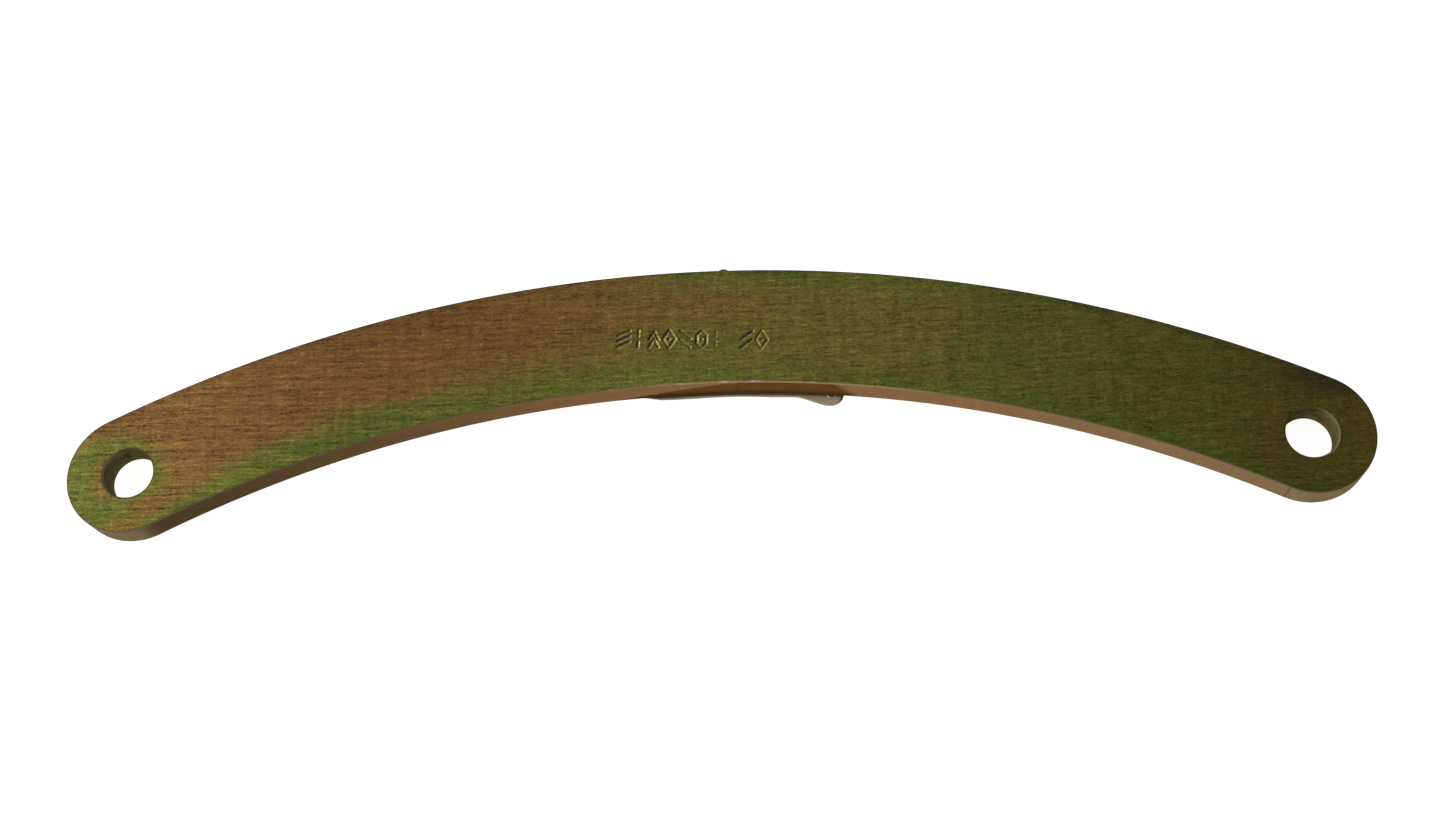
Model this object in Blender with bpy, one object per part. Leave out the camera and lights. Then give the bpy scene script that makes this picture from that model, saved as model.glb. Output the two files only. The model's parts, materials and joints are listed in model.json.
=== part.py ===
"""Flat steel link bar, curved in its own plane, with two plain eyes and a spring leaf.

Metres, +Z up. The bar lies flat with its front face up, its length along X and its convex edge
towards +Y. The origin is under the middle of the part's box, level with its lowest point, which
is the crown of the leaf's contact button.
"""

import math

import bmesh
import bpy

MM = 0.001

# Bar: 2 in by 1/2 in flat steel, cut on an arc whose midline runs through both eyes.
BAR_WIDTH = 50.8 * MM
BAR_THICKNESS = 12.7 * MM
EYE_SPACING = 478.8 * MM
MIDLINE_RADIUS = 540.4 * MM
EYE_BORE = 20.6 * MM
BORE_CHAMFER = 0.8 * MM
EDGE_BREAK = 0.5 * MM

# Low nib left on the convex edge where the cut around the outline began and ended.
NIB_ALONG = 5.5 * MM
NIB_RADIUS = 3.0 * MM
NIB_HEIGHT = 0.7 * MM

# Faces that touch on the real part stay this far apart.
CLEARANCE = 0.3 * MM

# Leaf: flat root under two screws, then a tongue that slopes away from the bar's back face.
# Its places along the bar count from the bar's middle, and across it from the line of the eyes.
LEAF_THICKNESS = 1.2 * MM
LEAF_START = -76.0 * MM
LEAF_CORNER = 5.0 * MM
LEAF_ROOT_WIDTH = 14.0 * MM
LEAF_INNER_EDGE = 30.0 * MM
LEAF_SLOPE = math.radians(3.5)
FLEX_LINE = -32.0 * MM
FLARE_START = 33.0 * MM
PAD_ALONG = 49.0 * MM
PAD_ACROSS = 31.25 * MM
PAD_RADIUS = 5.4 * MM

# Contact button: a rivet through the leaf's round end, domed on the side away from the bar.
DOME_RADIUS = 3.6 * MM
DOME_RIM = 3.0 * MM
BUTTON_SHANK = 1.4 * MM
BUTTON_HOLE = 1.7 * MM
BUTTON_HEAD = 2.3 * MM
BUTTON_HEAD_HEIGHT = 0.5 * MM

# M4 button-head screws with split spring washers, in blind tapped holes.
SCREW_PLACES = (-64.0 * MM, -44.0 * MM)
SCREW_HEAD = 3.8 * MM
SCREW_HEAD_HEIGHT = 2.2 * MM
SCREW_HEAD_RIM = 0.4 * MM
SCREW_SHANK = 1.7 * MM
SCREW_GRIP = 8.6 * MM
SCREW_POINT = 0.5 * MM
SOCKET_FLATS = 2.5 * MM
SOCKET_DEPTH = 1.3 * MM
TAPPED_HOLE = 2.0 * MM
TAPPED_DEPTH = 8.0 * MM
PASSING_HOLE = 2.1 * MM
WASHER_OUTSIDE = 3.8 * MM
WASHER_THICKNESS = 1.0 * MM
WASHER_SPLIT = math.radians(14)

# How round shapes are divided.
ARC_SEGMENTS = 96
END_SEGMENTS = 36
BORE_SEGMENTS = 64
TURNED_SEGMENTS = 40
DOME_SEGMENTS = 6
FLARE_SEGMENTS = 16
NIB_SEGMENTS = 10
CORNER_SEGMENTS = 8
PAD_SEGMENTS = 28

# Places that follow from the sizes above.
RISE = MIDLINE_RADIUS - math.sqrt(MIDLINE_RADIUS**2 - (EYE_SPACING / 2) ** 2)
EYE_LINE = -(RISE + NIB_HEIGHT) / 2
ARC_CENTRE = (0.0, EYE_LINE + RISE - MIDLINE_RADIUS)
LEFT_EYE = (-EYE_SPACING / 2, EYE_LINE)
RIGHT_EYE = (EYE_SPACING / 2, EYE_LINE)
LEAF_MIDDLE = EYE_LINE + LEAF_INNER_EDGE + LEAF_ROOT_WIDTH / 2
DOME_CENTRE = math.sqrt(DOME_RADIUS**2 - DOME_RIM**2) - CLEARANCE - LEAF_THICKNESS / 2
PAD_DROP = (PAD_ALONG - FLEX_LINE) * math.sin(LEAF_SLOPE)
LEAF_LEVEL = PAD_DROP - DOME_CENTRE * math.cos(LEAF_SLOPE) + DOME_RADIUS
BACK_FACE = LEAF_LEVEL + LEAF_THICKNESS / 2 + CLEARANCE
WASHER_TOP = LEAF_LEVEL - LEAF_THICKNESS / 2 - CLEARANCE
SCREW_SEAT = WASHER_TOP - WASHER_THICKNESS - CLEARANCE


def clear_scene():
    for old in list(bpy.data.objects):
        bpy.data.objects.remove(old, do_unlink=True)


def finish(name, colour, roughness, metallic):
    """A Principled BSDF material for one kind of surface."""
    material = bpy.data.materials.new(name)
    material.use_nodes = True
    shader = material.node_tree.nodes["Principled BSDF"]
    shader.inputs["Base Color"].default_value = (*colour, 1.0)
    shader.inputs["Roughness"].default_value = roughness
    shader.inputs["Metallic"].default_value = metallic
    return material


def place(name, bm, material=None, location=(0, 0, 0), parent=None):
    """An object made from a bmesh, at its place under its parent."""
    mesh = bpy.data.meshes.new(name)
    bm.to_mesh(mesh)
    bm.free()
    mesh.shade_smooth()
    mesh.set_sharp_from_angle(angle=math.radians(30))
    if material:
        mesh.materials.append(material)
    made = bpy.data.objects.new(name, mesh)
    made.location = location
    made.parent = parent
    bpy.context.collection.objects.link(made)
    return made


def cut(target, name, bm, location=(0, 0, 0), parent=None):
    """Takes a cutter's shape out of the target with a live Boolean."""
    cutter = place(name, bm, location=location, parent=parent)
    cutter.hide_render = True
    cutter.display_type = "WIRE"
    boolean = target.modifiers.new(name, "BOOLEAN")
    boolean.operation = "DIFFERENCE"
    boolean.solver = "EXACT"
    boolean.object = cutter


def break_edges(target, width):
    bevel = target.modifiers.new("edge_break", "BEVEL")
    bevel.width = width
    bevel.segments = 1
    bevel.limit_method = "ANGLE"
    bevel.angle_limit = math.radians(75)


def arc(centre, radius, start, sweep, segments):
    """Points along an arc from the angle start through sweep, both ends included."""
    angles = [start + sweep * step / segments for step in range(segments + 1)]
    return [(centre[0] + radius * math.cos(a), centre[1] + radius * math.sin(a)) for a in angles]


def plate(outline, low, high):
    """A flat plate of the given outline between two heights."""
    bm = bmesh.new()
    face = bm.faces.new([bm.verts.new((x, y, low)) for x, y in outline])
    grown = bmesh.ops.extrude_face_region(bm, geom=[face])["geom"]
    top = [item for item in grown if isinstance(item, bmesh.types.BMVert)]
    bmesh.ops.translate(bm, verts=top, vec=(0, 0, high - low))
    bmesh.ops.recalc_face_normals(bm, faces=bm.faces)
    return bm


def turned(profile, segments=TURNED_SEGMENTS):
    """A turned solid: (radius, height) points from axis to axis, spun about Z."""
    bm = bmesh.new()
    verts = [bm.verts.new((radius, 0, height)) for radius, height in profile]
    edges = [bm.edges.new(pair) for pair in zip(verts, verts[1:])]
    bmesh.ops.spin(
        bm,
        geom=verts + edges,
        cent=(0, 0, 0),
        axis=(0, 0, 1),
        angle=math.tau,
        steps=segments,
        use_merge=True,
    )
    bmesh.ops.remove_doubles(bm, verts=bm.verts, dist=0.001 * MM)
    bmesh.ops.recalc_face_normals(bm, faces=bm.faces)
    return bm


def split_ring(inside, outside, low, high):
    """A flat ring with a narrow split, spun from its square section."""
    bm = bmesh.new()
    corners = ((inside, low), (outside, low), (outside, high), (inside, high))
    face = bm.faces.new([bm.verts.new((radius, 0, height)) for radius, height in corners])
    bmesh.ops.spin(
        bm,
        geom=[*face.verts, *face.edges, face],
        cent=(0, 0, 0),
        axis=(0, 0, 1),
        angle=math.tau - WASHER_SPLIT,
        steps=TURNED_SEGMENTS,
    )
    bmesh.ops.recalc_face_normals(bm, faces=bm.faces)
    return bm


def drill(radius, low, high):
    return turned([(0, low), (radius, low), (radius, high), (0, high)])


def bar_outline():
    """Two arcs about one centre and a half circle about each eye, with the nib on the outer arc."""
    half = math.asin(EYE_SPACING / 2 / MIDLINE_RADIUS)
    left = math.pi / 2 + half
    right = math.pi / 2 - half
    side = BAR_WIDTH / 2
    outside = MIDLINE_RADIUS + side
    sunk = NIB_RADIUS - NIB_HEIGHT
    nib_half = math.asin(math.sqrt(NIB_RADIUS**2 - sunk**2) / outside)
    nib_angle = math.pi / 2 - math.asin(NIB_ALONG / outside)
    nib_reach = outside * math.cos(nib_half) - sunk
    nib_centre = (
        ARC_CENTRE[0] + nib_reach * math.cos(nib_angle),
        ARC_CENTRE[1] + nib_reach * math.sin(nib_angle),
    )
    nib_turn = 2 * math.acos(sunk / NIB_RADIUS)
    nib_left = nib_angle + nib_half
    nib_right = nib_angle - nib_half
    per_half = ARC_SEGMENTS // 2
    outer_left = arc(ARC_CENTRE, outside, left, nib_left - left, per_half)
    nib = arc(nib_centre, NIB_RADIUS, nib_angle + nib_turn / 2, -nib_turn, NIB_SEGMENTS)
    outer_right = arc(ARC_CENTRE, outside, nib_right, right - nib_right, per_half)
    right_end = arc(RIGHT_EYE, side, right, -math.pi, END_SEGMENTS)
    inner_edge = arc(ARC_CENTRE, MIDLINE_RADIUS - side, right, 2 * half, ARC_SEGMENTS)
    left_end = arc(LEFT_EYE, side, left + math.pi, -math.pi, END_SEGMENTS)
    edges = (outer_left, nib, outer_right, right_end, inner_edge, left_end)
    return [point for edge in edges for point in edge[:-1]]


def eye_drill():
    """The eye's bore with a chamfer at both mouths, a little longer than the bar is thick."""
    radius = EYE_BORE / 2
    past = BORE_CHAMFER
    top = BAR_THICKNESS
    return turned(
        [
            (0, -past),
            (radius + BORE_CHAMFER + past, -past),
            (radius, BORE_CHAMFER),
            (radius, top - BORE_CHAMFER),
            (radius + BORE_CHAMFER + past, top + past),
            (0, top + past),
        ],
        BORE_SEGMENTS,
    )


def make_bar():
    plated = finish("bar_chromate_plate", (0.127, 0.102, 0.026), 0.42, 0.75)
    outline = bar_outline()
    bar = place("curved_bar", plate(outline, BACK_FACE, BACK_FACE + BAR_THICKNESS), plated)
    break_edges(bar, EDGE_BREAK)
    for side, eye in (("left", LEFT_EYE), ("right", RIGHT_EYE)):
        cut(bar, f"{side}_eye_drill", eye_drill(), location=(*eye, BACK_FACE))
    for number, along in enumerate(SCREW_PLACES, 1):
        tap = drill(TAPPED_HOLE, -CLEARANCE, TAPPED_DEPTH)
        cut(bar, f"tap_{number}", tap, location=(along, LEAF_MIDDLE, BACK_FACE))


def root_outline():
    """The clamped end of the leaf, about the middle of the flex line, with two round corners."""
    half = LEAF_ROOT_WIDTH / 2
    start = LEAF_START - FLEX_LINE
    end = -CLEARANCE / 2
    turn = math.pi / 2
    inset = start + LEAF_CORNER
    upper = arc((inset, half - LEAF_CORNER), LEAF_CORNER, turn, turn, CORNER_SEGMENTS)
    lower = arc((inset, LEAF_CORNER - half), LEAF_CORNER, 2 * turn, turn, CORNER_SEGMENTS)
    return [(end, half), *upper, *lower, (end, -half)]


def tongue_outline():
    """The free end of the leaf, about the middle of the flex line.

    Its inner edge runs straight along the bar and flares out to the round pad. Its outer edge
    tapers straight from the root's width until it touches the pad's circle.
    """
    half = LEAF_ROOT_WIDTH / 2
    start = CLEARANCE / 2
    pad = (PAD_ALONG - FLEX_LINE, PAD_ACROSS - LEAF_INNER_EDGE - half)
    flare = PAD_RADIUS - pad[1] - half
    flare_from = FLARE_START - FLEX_LINE
    inner_edge = [(start, -half)]
    for step in range(FLARE_SEGMENTS):
        share = step / FLARE_SEGMENTS
        along = flare_from + (pad[0] - flare_from) * share
        inner_edge.append((along, -half - flare * share * share * (3 - 2 * share)))
    to_root = math.hypot(pad[0] - start, half - pad[1])
    touch = math.atan2(half - pad[1], start - pad[0]) - math.acos(PAD_RADIUS / to_root)
    round_end = arc(pad, PAD_RADIUS, -math.pi / 2, touch + math.pi / 2, PAD_SEGMENTS)
    return [*inner_edge, *round_end, (start, half)]


def make_leaf():
    """The leaf's clamped root, its tongue hung on the flex line, and the button on the tongue."""
    spring_steel = finish("leaf_zinc_plate", (0.279, 0.231, 0.165), 0.38, 0.8)
    button_steel = finish("button_polished_steel", (0.36, 0.32, 0.25), 0.25, 0.9)
    half = LEAF_THICKNESS / 2

    root = place(
        "leaf_root",
        plate(root_outline(), -half, half),
        spring_steel,
        location=(FLEX_LINE, LEAF_MIDDLE, LEAF_LEVEL),
    )
    for number, along in enumerate(SCREW_PLACES, 1):
        hole = drill(PASSING_HOLE, -LEAF_THICKNESS, LEAF_THICKNESS)
        cut(root, f"root_hole_{number}", hole, location=(along, LEAF_MIDDLE, LEAF_LEVEL))

    hinge = bpy.data.objects.new("tongue_flex_line", None)
    hinge.location = (FLEX_LINE, LEAF_MIDDLE, LEAF_LEVEL)
    hinge.rotation_euler = (0, LEAF_SLOPE, 0)
    bpy.context.collection.objects.link(hinge)
    tongue = place(
        "leaf_tongue",
        plate(tongue_outline(), -half, half),
        spring_steel,
        parent=hinge,
    )
    pad = (PAD_ALONG - FLEX_LINE, EYE_LINE + PAD_ACROSS - LEAF_MIDDLE, 0)
    hole = drill(BUTTON_HOLE, -LEAF_THICKNESS, LEAF_THICKNESS)
    cut(tongue, "button_hole", hole, location=pad, parent=hinge)
    place("tip_button", turned(button_profile()), button_steel, location=pad, parent=hinge)


def button_profile():
    """Dome below the pad, shank through it and a low flat head above it."""
    below = -LEAF_THICKNESS / 2 - CLEARANCE
    above = LEAF_THICKNESS / 2 + CLEARANCE
    rim = -math.acos(DOME_RIM / DOME_RADIUS)
    dome = arc((0, DOME_CENTRE), DOME_RADIUS, -math.pi / 2, rim + math.pi / 2, DOME_SEGMENTS)
    return [
        *dome,
        (BUTTON_SHANK, below),
        (BUTTON_SHANK, above),
        (BUTTON_HEAD, above),
        (BUTTON_HEAD, above + BUTTON_HEAD_HEIGHT),
        (0, above + BUTTON_HEAD_HEIGHT),
    ]


def screw_profile():
    """Button head below its seat at height 0, and a shank above it."""
    crown = SCREW_HEAD_HEIGHT - SCREW_HEAD_RIM
    radius = (SCREW_HEAD**2 + crown**2) / (2 * crown)
    rim = -math.acos(SCREW_HEAD / radius)
    centre = (0, radius - SCREW_HEAD_HEIGHT)
    head = arc(centre, radius, -math.pi / 2, rim + math.pi / 2, DOME_SEGMENTS)
    return [
        *head,
        (SCREW_HEAD, 0),
        (SCREW_SHANK, 0),
        (SCREW_SHANK, SCREW_GRIP - SCREW_POINT),
        (SCREW_SHANK - SCREW_POINT, SCREW_GRIP),
        (0, SCREW_GRIP),
    ]


def hex_socket():
    corner = SOCKET_FLATS / 2 / math.cos(math.pi / 6)
    low = -SCREW_HEAD_HEIGHT
    outline = arc((0, 0), corner, 0, math.tau, 6)[:-1]
    return plate(outline, low - CLEARANCE, low + SOCKET_DEPTH)


def make_fasteners():
    zinc = finish("screw_zinc_plate", (0.42, 0.41, 0.38), 0.3, 0.9)
    sprung = finish("washer_spring_steel", (0.3, 0.29, 0.27), 0.35, 0.9)
    for number, along in enumerate(SCREW_PLACES, 1):
        seat = (along, LEAF_MIDDLE, SCREW_SEAT)
        screw = place(f"leaf_screw_{number}", turned(screw_profile()), zinc, location=seat)
        cut(screw, f"socket_{number}", hex_socket(), location=seat)
        ring = split_ring(PASSING_HOLE, WASHER_OUTSIDE, -WASHER_THICKNESS, 0)
        under_leaf = (along, LEAF_MIDDLE, WASHER_TOP)
        place(f"lock_washer_{number}", ring, sprung, location=under_leaf)


clear_scene()
make_bar()
make_leaf()
make_fasteners()
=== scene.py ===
import json
import math

import bmesh
import bpy
import numpy as np
from mathutils import Matrix, Vector


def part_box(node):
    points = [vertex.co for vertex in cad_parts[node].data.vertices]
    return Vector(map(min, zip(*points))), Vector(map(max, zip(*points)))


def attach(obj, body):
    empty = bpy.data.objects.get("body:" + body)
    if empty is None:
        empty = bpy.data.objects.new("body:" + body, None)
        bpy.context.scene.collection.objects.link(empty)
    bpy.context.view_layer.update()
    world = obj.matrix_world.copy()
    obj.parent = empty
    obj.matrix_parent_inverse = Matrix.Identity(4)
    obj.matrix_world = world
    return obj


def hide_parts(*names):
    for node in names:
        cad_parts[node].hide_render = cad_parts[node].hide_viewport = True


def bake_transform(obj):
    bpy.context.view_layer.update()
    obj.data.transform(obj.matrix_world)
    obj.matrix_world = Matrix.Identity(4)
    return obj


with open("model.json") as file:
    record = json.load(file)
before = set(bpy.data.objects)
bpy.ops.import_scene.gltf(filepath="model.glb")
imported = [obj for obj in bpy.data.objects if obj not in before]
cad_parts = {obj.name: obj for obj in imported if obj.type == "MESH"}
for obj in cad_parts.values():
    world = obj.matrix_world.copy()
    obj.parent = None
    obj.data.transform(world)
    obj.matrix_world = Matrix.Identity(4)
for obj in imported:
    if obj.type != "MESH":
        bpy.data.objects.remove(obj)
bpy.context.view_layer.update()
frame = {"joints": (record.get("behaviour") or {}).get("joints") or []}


# ---------------------------------------------------------------------------------------------
# Curved bar: one flat steel link, cut on an arc from half-inch plate, with its rims eased and an
# eye drilled and chamfered at each end. It was cold punched with a row of marks near the middle,
# then zinc plated and dipped in yellow chromate, which dried brown, olive and green.
# ---------------------------------------------------------------------------------------------

MM = 0.001
BAR_WIDTH = 50.8 * MM
MIDLINE_RADIUS = 540.4 * MM
NIB_ALONG = 5.5 * MM
NIB_RADIUS = 3.0 * MM
NIB_HEIGHT = 0.7 * MM
EYE_BORE = 10.3 * MM
BORE_CHAMFER = 0.8 * MM
RIM_ROUND = 0.55 * MM
TAPPED_HOLE = 2.0 * MM
TAPPED_DEPTH = 8.0 * MM
CLOSE = 0.001 * MM

bar_low, bar_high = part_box("curved_bar")
thickness = bar_high.z - bar_low.z
side = BAR_WIDTH / 2
eye_x = bar_high.x - side
eye_y = bar_low.y + side
half_turn = math.asin(eye_x / MIDLINE_RADIUS)
left_eye = Vector((-eye_x, eye_y, bar_low.z))
right_eye = Vector((eye_x, eye_y, bar_low.z))
centre = Vector((0, eye_y - MIDLINE_RADIUS * math.cos(half_turn), bar_low.z))
screw_boxes = [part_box("leaf_screw_1"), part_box("leaf_screw_2")]
screw_spots = [(low + high) / 2 for low, high in screw_boxes]


def arc_on(bm, start, centre, angle, steps):
    """Carries the vertex start round a centre, leaving edges behind it; returns the last vertex."""
    swept = bmesh.ops.spin(
        bm, geom=[start], cent=centre, axis=(0, 0, 1), angle=angle, steps=steps, use_merge=False
    )
    return swept["geom_last"][0]


def close_outline(bm):
    """Joins the ends of a drawn outline and fills it with one face."""
    bmesh.ops.remove_doubles(bm, verts=bm.verts, dist=CLOSE)
    bmesh.ops.contextual_create(bm, geom=bm.edges[:])


def open_plate(bm, thickness, rim, steps):
    """Thickens the outline's face upwards, rounds its rims, and takes off the top and bottom skins."""
    skin = bm.faces[:]
    grown = bmesh.ops.extrude_face_region(bm, geom=skin)["geom"]
    raised = [item for item in grown if isinstance(item, bmesh.types.BMVert)]
    bmesh.ops.translate(bm, verts=raised, vec=(0, 0, thickness))
    bmesh.ops.recalc_face_normals(bm, faces=bm.faces[:])
    flats = [face for face in bm.faces if len(face.verts) > 4]
    bmesh.ops.bevel(
        bm,
        geom=[edge for face in flats for edge in face.edges],
        offset=rim,
        offset_type="OFFSET",
        affect="EDGES",
        segments=steps,
        profile=0.5,
        material=-1,
        face_strength_mode="NEW",
    )
    flats = [face for face in bm.faces if len(face.verts) > 4]
    bmesh.ops.delete(bm, geom=flats, context="FACES_ONLY")


def bore(bm, centre, profile, steps):
    """Turns a hole's wall, given as (radius, height) points, about an upright axis."""
    verts = [bm.verts.new(centre + Vector((radius, 0, height))) for radius, height in profile]
    edges = [bm.edges.new(pair) for pair in zip(verts, verts[1:])]
    bmesh.ops.spin(
        bm,
        geom=verts + edges,
        cent=centre,
        axis=(0, 0, 1),
        angle=math.tau,
        steps=steps,
        use_merge=True,
    )


def close_level(bm, level):
    """Fills between all the open loops that lie at one height."""
    rings = [
        edge
        for edge in bm.edges
        if edge.is_boundary and all(abs(vert.co.z - level) < CLOSE for vert in edge.verts)
    ]
    bmesh.ops.triangle_fill(bm, edges=rings, use_beauty=True, use_dissolve=False, normal=(0, 0, 1))


def piece(name, bm, *materials):
    """A finished object at the origin, with smooth shading and its flat faces kept flat."""
    bmesh.ops.remove_doubles(bm, verts=bm.verts, dist=CLOSE)
    bmesh.ops.recalc_face_normals(bm, faces=bm.faces[:])
    mesh = bpy.data.meshes.new(name)
    bm.to_mesh(mesh)
    bm.free()
    mesh.shade_smooth()
    mesh.set_sharp_from_angle(angle=math.radians(40))
    for material in materials:
        mesh.materials.append(material)
    made = bpy.data.objects.new(name, mesh)
    bpy.context.scene.collection.objects.link(made)
    even = made.modifiers.new("even_normals", "WEIGHTED_NORMAL")
    even.keep_sharp = True
    even.use_face_influence = True
    return made


# Outline, drawn clockwise from the left end of the convex edge.
ARC_STEPS = 440
END_STEPS = 96
NIB_STEPS = 16
RIM_STEPS = 3
outside = MIDLINE_RADIUS + side
inside = MIDLINE_RADIUS - side
nib_sunk = NIB_RADIUS - NIB_HEIGHT
nib_half = math.asin(math.sqrt(NIB_RADIUS**2 - nib_sunk**2) / outside)
nib_lean = math.asin(NIB_ALONG / outside)
nib_up = Vector((math.sin(nib_lean), math.cos(nib_lean), 0))
nib_centre = centre + nib_up * (outside * math.cos(nib_half) - nib_sunk)
nib_turn = 2 * math.acos(nib_sunk / NIB_RADIUS)

bm = bmesh.new()
start = bm.verts.new(centre + Vector((-math.sin(half_turn), math.cos(half_turn), 0)) * outside)
point = arc_on(bm, start, centre, nib_half - half_turn - nib_lean, ARC_STEPS // 2)
point = arc_on(bm, point, nib_centre, -nib_turn, NIB_STEPS)
point = arc_on(bm, point, centre, nib_half - half_turn + nib_lean, ARC_STEPS // 2)
point = arc_on(bm, point, right_eye, -math.pi, END_STEPS)
point = arc_on(bm, point, centre, 2 * half_turn, ARC_STEPS)
point = arc_on(bm, point, left_eye, -math.pi, END_STEPS)
close_outline(bm)
open_plate(bm, thickness, RIM_ROUND, RIM_STEPS)

eye_wall = [
    (EYE_BORE + BORE_CHAMFER, 0),
    (EYE_BORE, BORE_CHAMFER),
    (EYE_BORE, thickness - BORE_CHAMFER),
    (EYE_BORE + BORE_CHAMFER, thickness),
]
for eye in (left_eye, right_eye):
    bore(bm, eye, eye_wall, 96)
for spot in screw_spots:
    mouth = Vector((spot.x, spot.y, bar_low.z))
    bore(bm, mouth, [(TAPPED_HOLE, 0), (TAPPED_HOLE, TAPPED_DEPTH), (0, TAPPED_DEPTH)], 32)
close_level(bm, bar_low.z)

# The punched strip is a fine grid let into the front face.
STRIP_MIDDLE = Vector((-7.4 * MM, 22.0 * MM, bar_high.z))
STRIP_LENGTH = 72 * MM
STRIP_HEIGHT = 12 * MM
STRIP_TILT = math.radians(-2.6)
STRIP_CELL = 0.2 * MM
strip_place = (
    Matrix.Translation(STRIP_MIDDLE)
    @ Matrix.Rotation(STRIP_TILT, 4, "Z")
    @ Matrix.Diagonal((STRIP_LENGTH, STRIP_HEIGHT, 1, 1))
)
punched = bm.verts.layers.float.new("punched")
slope_to_light = bm.verts.layers.float.new("slope_to_light")
strip = bmesh.ops.create_grid(
    bm,
    x_segments=round(STRIP_LENGTH / STRIP_CELL),
    y_segments=round(STRIP_HEIGHT / STRIP_CELL),
    size=0.5,
    matrix=strip_place,
)["verts"]
close_level(bm, bar_high.z)
bmesh.ops.recalc_face_normals(bm, faces=bm.faces[:])

FACE, EDGE, RIM, BORE = range(4)
for face in bm.faces:
    middle = face.calc_center_median()
    from_eye = math.hypot(abs(middle.x) - eye_x, middle.y - eye_y)
    if from_eye < EYE_BORE + BORE_CHAMFER:
        face.material_index = BORE
    elif abs(face.normal.z) < 0.1:
        face.material_index = EDGE
    elif abs(face.normal.z) < 0.99:
        face.material_index = RIM

# Punch marks, as strokes in a cell one wide and one high: plain shapes that spell nothing.
MARK_HEIGHT = 7.4 * MM
STROKE_HALF = 0.76 * MM
LIP_HEIGHT = 0.07 * MM
LIP_WIDTH = 0.3 * MM
FULL_DEPTH = 0.45
# Side the light comes from, in the strip's plane: it sets the painted highlights and shadows on the
# punch walls.
LIGHT_SIDE_IN_STRIP = np.array([-0.78, 0.62])


def ring_strokes(sides, turn, reach):
    """A closed shape with equal sides about the cell's middle; turn is a share of one side."""
    angles = [math.tau * (number + turn) / sides for number in range(sides + 1)]
    corners = [(0.5 + reach * math.cos(a), 0.5 + reach * math.sin(a)) for a in angles]
    return list(zip(corners, corners[1:]))


def slash_strokes(count, rise):
    """Parallel slanted strokes that share out the height; a negative rise slants them down."""
    gap = (1 - abs(rise)) / (count - 1)
    first = max(-rise, 0)
    return [((0, first + gap * row), (1, first + rise + gap * row)) for row in range(count)]


dot = [((0.48, 0.5), (0.52, 0.5))]
broken_bar = [((0.5, 0), (0.5, 0.36)), ((0.5, 0.64), (0.5, 1))]
chevrons = [
    ((0, 0), (0.5, 0.5)),
    ((0.5, 0.5), (1, 0)),
    ((0, 0.45), (0.5, 0.95)),
    ((0.5, 0.95), (1, 0.45)),
]
plus = [((0, 0.5), (1, 0.5)), ((0.5, 0.1), (0.5, 0.9))]
diamond = ring_strokes(4, 0, reach=0.55) + dot
hexagon = ring_strokes(6, 0.5, reach=0.52) + dot
# Shape, left side from the strip's middle, width, depth: all in millimetres but the shape. A mark
# of full depth has a full lip.
MARKS = (
    (slash_strokes(3, 0.32), -31.2, 5.0, 0.46),
    (broken_bar, -23.3, 1.4, 0.40),
    (chevrons, -18.0, 3.9, 0.44),
    (diamond, -12.1, 4.6, 0.46),
    (slash_strokes(2, -0.45), -5.2, 4.4, 0.42),
    (hexagon, 1.5, 4.4, 0.42),
    (plus, 7.6, 3.8, 0.20),
    (slash_strokes(2, 0.5), 20.2, 4.6, 0.45),
    (diamond, 26.2, 4.6, 0.36),
)


def stroke_distance(places, first, last):
    """Distance of each place from a straight stroke."""
    along = last - first
    share = np.clip((places - first) @ along / max(along @ along, CLOSE**2), 0, 1)
    return np.linalg.norm(places - first - share[:, None] * along, axis=1)


def punched_height(places):
    """Height of the punched strip at each place: sunk in the strokes, with a low lip along them."""
    height = np.zeros(len(places))
    for shape, left, width, depth in MARKS:
        cell = np.array([width * MM, MARK_HEIGHT])
        corner = np.array([left * MM, -MARK_HEIGHT / 2])
        nearest = np.full(len(places), 1.0)
        for first, last in shape:
            ends = (corner + cell * np.array(end) for end in (first, last))
            nearest = np.minimum(nearest, stroke_distance(places, *ends))
        # The punch leaned a little, so each mark is deeper at its lower left.
        lean = 1 - 0.25 * (places - corner) @ np.array([0.6, 0.8]) / MARK_HEIGHT
        wall = np.clip(1.15 - nearest / STROKE_HALF, 0, 1)
        lip = np.exp(-(((nearest - STROKE_HALF * 1.25) / LIP_WIDTH) ** 2)) * LIP_HEIGHT
        height += lip * (depth / FULL_DEPTH) - wall * wall * (3 - 2 * wall) * depth * MM * lean
    edge = np.minimum(STRIP_LENGTH / 2 - abs(places[:, 0]), STRIP_HEIGHT / 2 - abs(places[:, 1]))
    return height * np.clip(edge / (2 * STRIP_CELL), 0, 1)


def punch_marks(verts):
    """Sinks the marks into the strip, and notes on each vertex its height and its slope towards the
    light.

    The lips are left out of the height, so they show only in that slope, as painted highlight and
    shade.
    """
    to_strip = (Matrix.Translation(STRIP_MIDDLE) @ Matrix.Rotation(STRIP_TILT, 4, "Z")).inverted()
    places = np.array([(to_strip @ vert.co)[:2] for vert in verts])
    step = LIGHT_SIDE_IN_STRIP * STRIP_CELL
    slopes_to_light = (punched_height(places - step) - punched_height(places + step)) / (2 * STRIP_CELL)
    for vert, height, lean in zip(verts, punched_height(places), slopes_to_light):
        vert.co.z += min(height, 0)
        vert[punched] = height / LIP_HEIGHT
        vert[slope_to_light] = lean


punch_marks(strip)

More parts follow.
